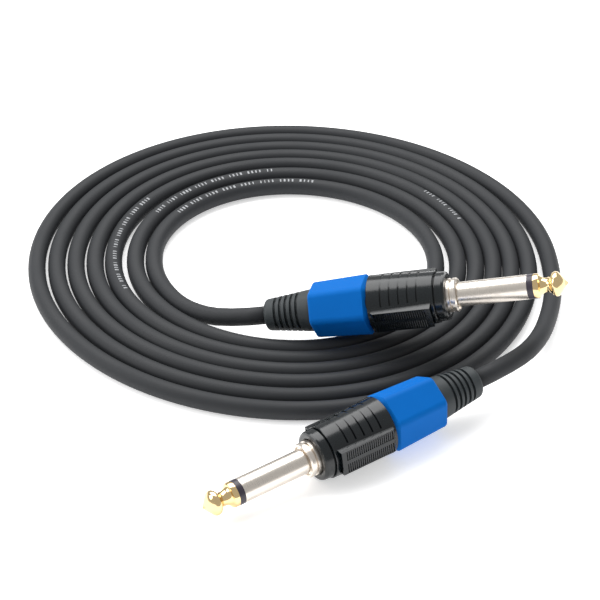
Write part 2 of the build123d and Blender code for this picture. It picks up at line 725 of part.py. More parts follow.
def corner_radii(points):
    """Largest radius for each corner of a route, with the share of the runs that its arc may use."""
    radii = []
    for before, corner, after in zip(points, points[1:], points[2:]):
        shorter = min((corner - before).length, (after - corner).length)
        half_turn = radians((corner - before).get_angle(after - corner)) / 2
        radii.append(CORNER_SHARE * shorter / tan(half_turn))
    return radii


def lead_points(plane, route, coil_quarter):
    """Corners of a free run: just inside the boot, along its route and on into the coil's end."""
    start = plane.from_local_coords(Vector(0, 0, -CABLE_START))
    meeting = Vector(*coil_point(coil_quarter), CABLE_RADIUS)
    last_corner = Vector(*route[-1])
    finish = meeting + (meeting - last_corner).normalized() * LEAD_OVERRUN
    return [start] + [Vector(*point) for point in route] + [finish]


def coil_end_plane(coil_quarter, lead_corner):
    """Upright plane across one end of the coil, facing the free run that meets it."""
    inner = Vector(*coil_point(coil_quarter, -CABLE_RADIUS), 0)
    outer = Vector(*coil_point(coil_quarter, CABLE_RADIUS), 0)
    facing = (outer - inner).cross(Vector(0, 0, 1))
    if facing.dot(Vector(*lead_corner) - inner) < 0:
        facing = -facing
    return Plane(origin=inner, z_dir=facing)


LEADS = {
    "rear_lead": ("rear_plug", REAR_LEAD_ROUTE, COIL_START),
    "front_lead": ("front_plug", FRONT_LEAD_ROUTE, COIL_END),
}

for lead_name, (plug_name, route, coil_quarter) in LEADS.items():
    points = lead_points(PLUGS[plug_name][0], route, coil_quarter)
    radii = corner_radii(points)
    with BuildPart() as lead:
        with BuildLine() as lead_path:
            FilletPolyline(*points, radius=radii)
        path_wire = lead_path.wire()
        with BuildSketch(Plane(origin=path_wire @ 0, z_dir=path_wire % 0)):
            Circle(CABLE_RADIUS)
        sweep(path=path_wire)
        section = pi * CABLE_RADIUS**2
        volume_share = lead.part.volume / (section * path_wire.length)
        split(bisect_by=coil_end_plane(coil_quarter, route[-1]), keep=Keep.TOP)
    lead.part.label = lead_name
    export_step(lead.part, f"parts/{lead_name}.step")
    print(lead_name, "radii", [round(radius, 1) for radius in radii])
    print(lead_name, "runs", [round((b - a).length, 1) for a, b in zip(points, points[1:])])
    print(
        f"{lead_name} length {path_wire.length - LEAD_OVERRUN:.1f},"
        f" volume before trimming / (section x length) {volume_share:.4f}"
    )

# ============================== printed facts for the record ==============================

steps_per_quarter = 50
coil_steps = round((COIL_END - COIL_START) * steps_per_quarter)
coil_length = 0.0
for step in range(coil_steps):
    here = coil_point(COIL_START + step / steps_per_quarter)
    there = coil_point(COIL_START + (step + 1) / steps_per_quarter)
    coil_length += hypot(there[0] - here[0], there[1] - here[1])
print(f"coil length {coil_length:.0f}, coil volume {cable_coil.part.volume:.0f}")

box = Compound(children=plug_solids).bounding_box()
print("plugs' box", [round(v, 2) for v in (*box.min, *box.max)])
for plug_name, (plane, nut_roll) in PLUGS.items():
    print(plug_name, "tip", [round(v, 3) for v in plane.origin], "axis", [round(v, 6) for v in plane.z_dir])
turns = NUT_TRAVEL / THREAD_PITCH
print(f"nut: {turns:.0f} turns over {NUT_TRAVEL} mm")
print(f"pin: full radius from station {LIP_STATION} to {SHANK_FRONT:.1f}")
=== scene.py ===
"""Looks of the instrument cable: finishes, thumb ribs, turned tips, the free cable, light and camera.

Metres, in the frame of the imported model. A plug is measured from the point of its tip: a station is
the distance back from there, and the thumb pads face sideways.
"""

import json
import logging
from abc import ABC, abstractmethod
from dataclasses import dataclass, field
from enum import Enum
from math import atan2, cos, floor, hypot, pi, radians, sin
from typing import Any, Sequence

import bmesh
import bpy
from mathutils import Matrix, Vector

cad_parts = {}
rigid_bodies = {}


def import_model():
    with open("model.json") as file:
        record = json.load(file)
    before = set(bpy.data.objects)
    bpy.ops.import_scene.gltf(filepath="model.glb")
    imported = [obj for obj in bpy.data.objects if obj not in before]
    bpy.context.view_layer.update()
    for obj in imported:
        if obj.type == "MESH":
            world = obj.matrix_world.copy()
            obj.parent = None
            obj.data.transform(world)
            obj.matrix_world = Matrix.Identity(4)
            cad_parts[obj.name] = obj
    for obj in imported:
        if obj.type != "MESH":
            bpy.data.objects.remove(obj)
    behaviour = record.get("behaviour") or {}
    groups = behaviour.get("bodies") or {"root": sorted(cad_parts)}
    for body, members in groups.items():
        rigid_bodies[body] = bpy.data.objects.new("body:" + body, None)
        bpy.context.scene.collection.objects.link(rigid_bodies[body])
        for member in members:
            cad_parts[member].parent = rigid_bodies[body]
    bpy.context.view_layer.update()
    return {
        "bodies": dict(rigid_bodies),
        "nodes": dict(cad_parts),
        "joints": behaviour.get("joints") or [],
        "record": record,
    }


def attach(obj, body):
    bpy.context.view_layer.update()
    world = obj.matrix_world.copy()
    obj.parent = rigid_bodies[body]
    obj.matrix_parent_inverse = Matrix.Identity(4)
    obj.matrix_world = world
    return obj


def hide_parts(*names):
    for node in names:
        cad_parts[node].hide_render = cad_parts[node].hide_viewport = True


LOG = logging.getLogger("instrument_cable")
MM = 0.001
MAIN_BODY = "root"

Colour = tuple[float, float, float]


def tone(red: int, green: int, blue: int) -> Colour:
    """Return a screen colour, each part from 0 to 255, as scene-linear light.

    Args:
        red: Red part.
        green: Green part.
        blue: Blue part.

    Returns:
        The three parts in linear light.
    """
    parts = [part / 255 for part in (red, green, blue)]
    return tuple(part / 12.92 if part <= 0.04045 else ((part + 0.055) / 1.055) ** 2.4 for part in parts)


def shaded(colour: Colour, share: float) -> Colour:
    """Return a colour made darker or lighter by a share."""
    return tuple(part * share for part in colour)


class Slot(Enum):
    """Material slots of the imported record."""

    JACKET = "black_jacket"
    HOUSING = "black_housing"
    RUBBER = "black_rubber"
    NUT = "blue_nut"
    GOLD = "gold_contact"
    NICKEL = "nickel_contact"
    DARK_INSULATOR = "dark_insulator"
    WHITE_INSULATOR = "white_insulator"
    TINNED = "tinned_lug"
    COPPER = "copper_strand"
    SOLDER = "solder"


class End(Enum):
    """The two ends of the cable."""

    REAR = "rear"
    FRONT = "front"

    @property
    def plug(self) -> str:
        """Start of the names of this end's plug pieces."""
        return f"{self.value}_plug"


# ============================== node graphs ==============================


class Socket:
    """One output of a node. Python's operators add Math nodes to its graph."""

    def __init__(self, graph: "Graph", link: bpy.types.NodeSocket | None) -> None:
        """Keep the graph and the output."""
        self.graph = graph
        self.link = link

    def math(self, operation: str, first: Any, second: Any = 0.0) -> "Socket":
        """Add one Math node.

        Args:
            operation: Name of the operation.
            first: First value or socket.
            second: Second value or socket.

        Returns:
            The node's result.
        """
        return self.graph.node("ShaderNodeMath", {"operation": operation}, {0: first, 1: second})

    def __add__(self, other: Any) -> "Socket":
        """Sum."""
        return self.math("ADD", self, other)

    def __radd__(self, other: Any) -> "Socket":
        """Sum, with the value first."""
        return self.math("ADD", other, self)

    def __sub__(self, other: Any) -> "Socket":
        """Difference."""
        return self.math("SUBTRACT", self, other)

    def __rsub__(self, other: Any) -> "Socket":
        """Difference, with the value first."""
        return self.math("SUBTRACT", other, self)

    def __mul__(self, other: Any) -> "Socket":
        """Product."""
        return self.math("MULTIPLY", self, other)

    def __rmul__(self, other: Any) -> "Socket":
        """Product, with the value first."""
        return self.math("MULTIPLY", other, self)

    def __truediv__(self, other: Any) -> "Socket":
        """Quotient."""
        return self.math("DIVIDE", self, other)

    def __rtruediv__(self, other: Any) -> "Socket":
        """Quotient, with the value first."""
        return self.math("DIVIDE", other, self)

    def __mod__(self, other: Any) -> "Socket":
        """Remainder."""
        return self.math("FLOORED_MODULO", self, other)

    def __gt__(self, other: Any) -> "Socket":
        """1 where this is the larger, 0 elsewhere."""
        return self.math("GREATER_THAN", self, other)


class Graph:
    """A node tree and the one method that adds nodes to it."""

    def __init__(self, tree: bpy.types.NodeTree) -> None:
        """Start from an empty tree."""
        self.tree = tree
        tree.nodes.clear()

    def node(
        self,
        kind: str,
        settings: dict[str, Any] | None = None,
        inputs: dict[int | str, Any] | None = None,
        output: int | str = 0,
    ) -> Socket:
        """Add a node of any type.

        Args:
            kind: Blender's name for the node type.
            settings: Properties, set before the inputs; "stops" gives a colour ramp's places and colours.
            inputs: Value, socket or list of sockets for each input, by number or name.
            output: Output to give back, by number or name.

        Returns:
            The output, or an empty socket for a node without outputs.
        """
        made = self.tree.nodes.new(kind)
        for name, value in (settings or {}).items():
            if name == "stops":
                self._set_stops(made.color_ramp.elements, value)
            else:
                setattr(made, name, value)
        for key, value in (inputs or {}).items():
            for part in value if isinstance(value, list) else [value]:
                if isinstance(part, Socket):
                    self.tree.links.new(part.link, made.inputs[key])
                else:
                    made.inputs[key].default_value = part
        return Socket(self, made.outputs[output] if made.outputs else None)

    @staticmethod
    def _set_stops(elements: Any, stops: Sequence[tuple[float, Colour]]) -> None:
        """Give a colour ramp its stops."""
        while len(elements) < len(stops):
            elements.new(1.0)
        for element, (place, colour) in zip(elements, stops):
            element.position = place
            element.color = (*colour, 1.0)


class SurfaceGraph(Graph):
    """Node graph of one material, with the patterns that the finishes share."""

    def __init__(self, name: str) -> None:
        """Make an empty material of that name."""
        self.material = bpy.data.materials.new(name)
        self.material.use_nodes = True
        super().__init__(self.material.node_tree)

    def place(self) -> Socket:
        """Return the point on the object, in metres."""
        return self.node("ShaderNodeTexCoord", output="Object")

    def noise(self, where: Socket, size: float, detail: float = 2.0) -> Socket:
        """Return soft noise from 0 to 1.

        Args:
            where: Coordinates in metres.
            size: Size of a patch in metres.
            detail: Number of finer layers.

        Returns:
            The noise, about 0.5 on average.
        """
        return self.node(
            "ShaderNodeTexNoise",
            {"noise_dimensions": "3D"},
            {"Vector": where, "Scale": 1 / size, "Detail": detail},
        )

    def stretched(self, where: Socket, scale: tuple[float, float, float]) -> Socket:
        """Return coordinates multiplied by a scale for each direction."""
        return self.node("ShaderNodeMapping", {"vector_type": "POINT"}, {"Vector": where, "Scale": scale})

    def mix(self, share: Any, first: Any, second: Any) -> Socket:
        """Return a blend of two colours.

        Args:
            share: How much of the second, from 0 to 1.
            first: Colour or socket.
            second: Colour or socket.

        Returns:
            The blended colour.
        """
        ends = [(*c, 1.0) if isinstance(c, tuple) else c for c in (first, second)]
        settings = {"data_type": "RGBA", "clamp_factor": True}
        return self.node("ShaderNodeMix", settings, {0: share, 6: ends[0], 7: ends[1]}, 2)

    def band(self, value: Socket, low: float, high: float) -> Socket:
        """Return 0 below low, 1 above high and a smooth rise between them."""
        settings = {"interpolation_type": "SMOOTHSTEP"}
        return self.node("ShaderNodeMapRange", settings, {"Value": value, 1: low, 2: high})

    def relief(self, height: Socket, depth: float, share: float = 1.0) -> Socket:
        """Return a surface normal raised by a height.

        Args:
            height: Height from 0 to 1.
            depth: Metres that a height of 1 stands for.
            share: How strongly it shows.

        Returns:
            The normal.
        """
        return self.node("ShaderNodeBump", None, {"Strength": share, "Distance": depth, "Height": height})

    def surface(self, **inputs: Any) -> bpy.types.Material:
        """Finish the material with one principled surface.

        Args:
            **inputs: The surface's inputs, with spaces written as underscores.

        Returns:
            The material.
        """
        named = {key.replace("_", " "): value for key, value in inputs.items()}
        shader = self.node("ShaderNodeBsdfPrincipled", None, named)
        self.node("ShaderNodeOutputMaterial", None, {"Surface": shader})
        return self.material


# ============================== finishes ==============================


@dataclass(frozen=True)
class Finish(ABC):
    """A finish, with the name of its material."""

    name: str

    @abstractmethod
    def material(self) -> bpy.types.Material:
        """Build the material."""


@dataclass(frozen=True)
class MouldedPlastic(Finish):
    """Moulded plastic: faint flow marks in the colour and a fine grain from the mould."""

    colour: Colour
    roughness: float
    grain_size: float = 0.25 * MM
    grain_depth: float = 0.004 * MM
    flow_size: float = 6 * MM
    flow: float = 0.06
    gloss_level: float = 0.5

    def material(self) -> bpy.types.Material:
        """Build the material."""
        graph = SurfaceGraph(self.name)
        where = graph.place()
        flow = graph.noise(where, self.flow_size, 3)
        grain = graph.noise(where, self.grain_size, 3)
        scuffs = graph.band(graph.noise(graph.stretched(where, (1, 1, 4)), 1.4 * MM, 5), 0.62, 0.8)
        colour = graph.mix(flow, shaded(self.colour, 1 - self.flow), shaded(self.colour, 1 + self.flow))
        return graph.surface(
            Base_Color=colour,
            Roughness=self.roughness + 0.06 * (grain - 0.5) + 0.08 * scuffs,
            Specular_IOR_Level=self.gloss_level,
            Normal=graph.relief(grain, self.grain_depth),
        )


@dataclass(frozen=True)
class BootRubber(Finish):
    """Soft moulded rubber: matte, with a dusty bloom that lies in patches and a fine stipple."""

    colour: Colour
    bloom: Colour
    roughness: float = 0.55
    stipple: float = 0.18 * MM

    def material(self) -> bpy.types.Material:
        """Build the material."""
        graph = SurfaceGraph(self.name)
        where = graph.place()
        patches = graph.band(graph.noise(where, 3.5 * MM, 4), 0.42, 0.72)
        stipple = graph.noise(where, self.stipple, 3)
        return graph.surface(
            Base_Color=graph.mix(0.55 * patches, self.colour, self.bloom),
            Roughness=self.roughness + 0.1 * (stipple - 0.5) + 0.06 * patches,
            Normal=graph.relief(stipple, 0.008 * MM),
        )


@dataclass(frozen=True)
class TurnedMetal(Finish):
    """Plated metal turned on a lathe: fine rings round the plug's axis under a bright plating."""

    colour: Colour
    roughness: float
    along: tuple[float, float, float]
    ring_pitch: float = 0.09 * MM
    ring_depth: float = 0.0006 * MM
    dulling: float = 0.05
    tarnish: float = 0.08

    def material(self) -> bpy.types.Material:
        """Build the material."""
        graph = SurfaceGraph(self.name)
        where = graph.place()
        product = {"operation": "DOT_PRODUCT"}
        station = graph.node("ShaderNodeVectorMath", product, {0: where, 1: self.along}, "Value")
        rings = graph.node(
            "ShaderNodeTexNoise",
            {"noise_dimensions": "1D"},
            {"W": station, "Scale": 1 / self.ring_pitch, "Detail": 2.0},
        )
        handling = graph.noise(where, 2.2 * MM, 4)
        dulled = graph.band(handling, 0.5, 0.75)
        return graph.surface(
            Base_Color=graph.mix(self.tarnish * dulled, self.colour, shaded(self.colour, 0.6)),
            Metallic=1.0,
            Roughness=self.roughness + self.dulling * dulled + 0.04 * (rings - 0.5),
            Normal=graph.relief(rings, self.ring_depth),
        )


@dataclass(frozen=True)
class DrawnJacket(Finish):
    """Vinyl jacket of a cable: satin, with faint lines along it from the die and soft handling marks."""

    colour: Colour
    length: float
    girth: float
    roughness: float = 0.6
    gloss_level: float = 0.35

    def material(self) -> bpy.types.Material:
        """Build the material."""
        graph = SurfaceGraph(self.name)
        unrolled = graph.node("ShaderNodeUVMap", {"uv_map": CoiledCable.UV_NAME})
        where = graph.stretched(unrolled, (self.length, self.girth, 1.0))
        die_lines = graph.noise(graph.stretched(where, (0.02, 1.0, 1.0)), 0.35 * MM, 3)
        grain = graph.noise(where, 0.3 * MM, 3)
        handling = graph.band(graph.noise(graph.stretched(where, (0.3, 1.0, 1.0)), 5 * MM, 4), 0.4, 0.75)
        return graph.surface(
            Base_Color=graph.mix(0.35 * handling, self.colour, shaded(self.colour, 1.35)),
            Roughness=self.roughness + 0.07 * handling + 0.05 * (grain - 0.5),
            Specular_IOR_Level=self.gloss_level,
            Normal=graph.relief(0.6 * die_lines + 0.4 * grain, 0.006 * MM),
        )


@dataclass(frozen=True)
class PrintInk(Finish):
    """Hot-stamped ink, thinner in places."""

    colour: Colour
    worn: Colour

    def material(self) -> bpy.types.Material:
        """Build the material."""
        graph = SurfaceGraph(self.name)
        thin = graph.band(graph.noise(graph.place(), 0.4 * MM, 3), 0.5, 0.7)
        return graph.surface(
            Base_Color=graph.mix(0.7 * thin, self.colour, self.worn),
            Roughness=0.5 + 0.1 * thin,
        )


@dataclass(frozen=True)
class CopperStrand(Finish):
    """Fine copper strands laid side by side round a plug's axis, with painted shade in the grooves between
    them.
    """

    colour: Colour
    along: tuple[float, float, float]
    strand: float = 0.16 * MM

    def material(self) -> bpy.types.Material:
        """Build the material."""
        graph = SurfaceGraph(self.name)
        where = graph.place()
        product = {"operation": "DOT_PRODUCT"}
        station = graph.node("ShaderNodeVectorMath", product, {0: where, 1: self.along}, "Value")
        wobble = graph.noise(where, 0.5 * MM)
        lay = (station / self.strand + 2 * wobble) % 1.0
        ridge = 1 - graph.node("ShaderNodeMath", {"operation": "ABSOLUTE"}, {0: 2 * lay - 1})
        # The base colour darkens to half in the grooves between strands: painted shade.
        return graph.surface(
            Base_Color=graph.mix(ridge, shaded(self.colour, 0.5), self.colour),
            Metallic=1.0,
            Roughness=0.3 + 0.15 * wobble,
            Normal=graph.relief(ridge, 0.03 * MM),
        )


@dataclass(frozen=True)
class StudioFloor(Finish):
    """Pale light table under the object, glowing faintly so that shadows stay soft."""

    colour: Colour
    glow: float = 0.5

    def material(self) -> bpy.types.Material:
        """Build the material."""
        graph = SurfaceGraph(self.name)
        fibre = graph.noise(graph.place(), 2 * MM, 3)
        return graph.surface(
            Base_Color=graph.mix(fibre, shaded(self.colour, 0.995), self.colour),
            Roughness=0.9,
            Specular_IOR_Level=0.1,
            Emission_Color=(*self.colour, 1.0),
            Emission_Strength=self.glow,
        )


# ============================== meshes and geometry trees ==============================


def add_object(name: str, mesh: bpy.types.Mesh) -> bpy.types.Object:
    """Put a mesh in the scene as an object at the origin."""
    made = bpy.data.objects.new(name, mesh)
    bpy.context.scene.collection.objects.link(made)
    return made


class GeometryTree(Graph):
    """A Geometry Nodes tree with named inputs, turned into a plain mesh."""

    KINDS = {float: "NodeSocketFloat", int: "NodeSocketInt", bpy.types.Material: "NodeSocketMaterial"}

    def __init__(self, name: str, values: dict[str, Any]) -> None:
        """Make the tree's inputs.

        Args:
            name: Name of the tree.
            values: Value of each named input.
        """
        super().__init__(bpy.data.node_groups.new(name, "GeometryNodeTree"))
        face = self.tree.interface
        face.new_socket(name="Geometry", in_out="INPUT", socket_type="NodeSocketGeometry")
        self.values = {}
        for title, value in values.items():
            kind = self.KINDS[type(value)]
            item = face.new_socket(name=title, in_out="INPUT", socket_type=kind)
            self.values[item.identifier] = value
        face.new_socket(name="Geometry", in_out="OUTPUT", socket_type="NodeSocketGeometry")
        self.entry = self.tree.nodes.new("NodeGroupInput")

    def given(self, title: str) -> Socket:
        """Return one of the tree's named inputs."""
        return Socket(self, self.entry.outputs[title])

    def vector(self, x: Any = 0.0, y: Any = 0.0, z: Any = 0.0) -> Socket:
        """Return a vector made of three numbers or sockets."""
        return self.node("ShaderNodeCombineXYZ", None, {0: x, 1: y, 2: z})

    def close(self, geometry: Socket) -> None:
        """End the tree: real geometry, in the material of the input named Material."""
        real = self.node("GeometryNodeRealizeInstances", None, {"Geometry": geometry})
        dressed = self.node(
            "GeometryNodeSetMaterial", None, {"Geometry": real, "Material": self.given("Material")}
        )
        self.node("NodeGroupOutput", None, {0: dressed})

    def mesh(self, source: bpy.types.Mesh) -> bpy.types.Mesh:
        """Run the tree once.

        Args:
            source: Geometry that goes in.

        Returns:
            The result as a plain mesh.
        """
        carrier = add_object(f"{self.tree.name}_source", source)
        modifier = carrier.modifiers.new(self.tree.name, "NODES")
        modifier.node_group = self.tree
        for identifier, value in self.values.items():
            modifier[identifier] = value
        result = carrier.evaluated_get(bpy.context.evaluated_depsgraph_get())
        made = bpy.data.meshes.new_from_object(result)
        bpy.data.objects.remove(carrier)
        return made


# ============================== plugs ==============================


@dataclass(frozen=True)
class PlugFrame:
    """Where a plug lies: the point of its tip, its axis and the way that a thumb pad faces."""

    end: End
    tip: Vector
    along: Vector
    pad_side: Vector

    @classmethod
    def found(cls, frame: dict[str, Any], end: End, roll: float) -> "PlugFrame":
        """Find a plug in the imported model.

        Args:
            frame: The loaded frame.
            end: Which end of the cable.
            roll: Degrees that the thumb pads are turned about the axis, from level.

        Returns:
            The plug's place.
        """
        slide = next(j for j in frame["joints"] if j["name"] == f"{end.value}_boot_slide")
        along = -Vector(slide["axis"]).normalized()
        points = frame["nodes"][f"{end.plug}_contact_tip"].data.vertices
        tip = max((point.co for point in points), key=along.dot).copy()
        across = along.cross(Vector((0, 0, 1))).normalized()
        up = across.cross(along)
        return cls(end, tip, along, across * cos(radians(roll)) + up * sin(radians(roll)))

    def at(self, station: float) -> Vector:
        """Return the point on the axis at a station."""
        return self.tip - self.along * station

    def matrix(self) -> Matrix:
        """Return the plug's own frame: X through a thumb pad, Z towards the tip."""
        columns = (self.pad_side, self.along.cross(self.pad_side), self.along)
        turned = Matrix(columns).transposed().to_4x4()
        turned.translation = self.tip
        return turned


@dataclass(frozen=True)
class ThumbRibs:
    """Cross ribs that fill the two sunk strips of each thumb pad, in the plug's own frame."""

    pad_reach: float = 8.0 * MM
    strip_inner: float = 0.5 * MM
    strip_outer: float = 2.85 * MM
    strip_front: float = 35.9 * MM
    strip_back: float = 49.5 * MM
    pitch: float = 0.6 * MM
    rib_radius: float = 0.2 * MM
    rib_sides: int = 10

    def build(self, place: PlugFrame, material: bpy.types.Material) -> bpy.types.Object:
        """Make the ribs of one plug.

        Args:
            place: Where the plug lies.
            material: The housing's material.

        Returns:
            One piece that rides on the main body.
        """
        count = floor((self.strip_back - self.strip_front) / self.pitch)
        middle = (self.strip_front + self.strip_back) / 2
        tree = GeometryTree(
            f"{place.end.value}_rib_rows",
            {
                "Rib Count": count,
                "Rib Pitch": self.pitch,
                "Rib Radius": self.rib_radius,
                "Rib Length": self.strip_outer - self.strip_inner,
                "Rib Sides": self.rib_sides,
                "Pad Reach": self.pad_reach,
                "First Station": middle - self.pitch * (count - 1) / 2,
                "Row Distance": (self.strip_inner + self.strip_outer) / 2,
                "Material": material,
            },
        )
        self._rows(tree)
        mesh = tree.mesh(bpy.data.meshes.new("rib_source"))
        mesh.transform(place.matrix())
        ribs = add_object(f"{place.end.plug}_thumb_ribs", mesh)
        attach(ribs, MAIN_BODY)
        return ribs

    @staticmethod
    def _rows(tree: GeometryTree) -> None:
        """Lay two rows of ribs on one pad and turn a copy of them to the other pad."""
        rib = tree.node(
            "GeometryNodeMeshCylinder",
            {"fill_type": "NGON"},
            {
                "Vertices": tree.given("Rib Sides"),
                "Radius": tree.given("Rib Radius"),
                "Depth": tree.given("Rib Length"),
            },
        )
        depth = tree.given("Pad Reach") - tree.given("Rib Radius")
        rows = []
        for side in (1, -1):
            start = tree.vector(depth, side * tree.given("Row Distance"), -1 * tree.given("First Station"))
            line = tree.node(
                "GeometryNodeMeshLine",
                {"mode": "OFFSET"},
                {
                    "Count": tree.given("Rib Count"),
                    "Start Location": start,
                    "Offset": tree.vector(z=-1 * tree.given("Rib Pitch")),
                },
            )
            turned = {"Points": line, "Instance": rib, "Rotation": (pi / 2, 0.0, 0.0)}
            rows.append(tree.node("GeometryNodeInstanceOnPoints", None, turned))
        pad = tree.node("GeometryNodeJoinGeometry", None, {0: rows})
        half_turn = {"Geometry": pad, "Rotation": (0.0, 0.0, pi)}
        other = tree.node("GeometryNodeTransform", None, half_turn)
        tree.close(tree.node("GeometryNodeJoinGeometry", None, {0: [pad, other]}))


@dataclass(frozen=True)
class TurnedTip:
    """The contact tip and its rod, turned about the plug's axis. Sizes are in millimetres."""

    pin_radius: float = 3.175
    rod_radius: float = 1.1
    ball_foot: tuple[float, float] = (2.825, 2.3)
    ball_crown: tuple[float, float] = (3.175, 3.3)
    ball_heel: tuple[float, float] = (2.725, 4.1)
    waist: tuple[float, float] = (1.85, 5.8)
    lip_toe: tuple[float, float] = (2.925, 7.35)
    lip_station: float = 7.8
    length: float = 8.7
    sides: int = 72
    arc_steps: int = 14

    def arc(self, start: Any, through: Any, finish: Any) -> list[tuple[float, float]]:
        """Return points along the arc through three points of the outline, without the first."""
        (ax, ay), (bx, by), (cx, cy) = start, through, finish
        twice = 2 * (ax * (by - cy) + bx * (cy - ay) + cx * (ay - by))
        a, b, c = ax * ax + ay * ay, bx * bx + by * by, cx * cx + cy * cy
        middle_x = (a * (by - cy) + b * (cy - ay) + c * (ay - by)) / twice
        middle_y = (a * (cx - bx) + b * (ax - cx) + c * (bx - ax)) / twice
        first, second, last = (atan2(y - middle_y, x - middle_x) for x, y in (start, through, finish))
        turn = (last - first) % (2 * pi)
        if (second - first) % (2 * pi) > turn:
            turn -= 2 * pi
        reach = hypot(ax - middle_x, ay - middle_y)
        angles = [first + turn * step / self.arc_steps for step in range(1, self.arc_steps + 1)]
        return [(middle_x + reach * cos(angle), middle_y + reach * sin(angle)) for angle in angles]

    def outline(self, rod_back: float) -> list[tuple[float, float]]:
        """Return radius and station of every point of the outline, in millimetres."""
        return [
            (0.0, 0.0),
            self.ball_foot,
            *self.arc(self.ball_foot, self.ball_crown, self.ball_heel),
            *self.arc(self.ball_heel, self.waist, self.lip_toe),
            (self.pin_radius, self.lip_station),
            (self.pin_radius, self.length),
            (self.rod_radius, self.length),
            (self.rod_radius, rod_back),
            (0.0, rod_back),
        ]

    def mesh(self, place: PlugFrame, node: bpy.types.Object) -> bpy.types.Mesh:
        """Turn the outline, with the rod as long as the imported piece's.

        Args:
            place: Where the plug lies.
            node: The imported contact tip.

        Returns:
            The mesh, in its place.
        """
        rod_back = max((place.tip - point.co).dot(place.along) for point in node.data.vertices) / MM
        shape = bmesh.new()
        points = [
            shape.verts.new((radius * MM, 0, -station * MM)) for radius, station in self.outline(rod_back)
        ]
        edges = [shape.edges.new(pair) for pair in zip(points, points[1:])]
        turn = {"axis": (0, 0, 1), "cent": (0, 0, 0), "angle": 2 * pi, "steps": self.sides}
        bmesh.ops.spin(shape, geom=points + edges, use_merge=True, **turn)
        bmesh.ops.remove_doubles(shape, verts=shape.verts, dist=Plug.MERGE_DISTANCE)
        bmesh.ops.recalc_face_normals(shape, faces=shape.faces)
        made = bpy.data.meshes.new("turned_tip")
        shape.to_mesh(made)
        shape.free()
        made.shade_smooth()
        made.set_sharp_from_angle(angle=Plug.SHARP_ANGLE)
        made.transform(place.matrix())
        return made


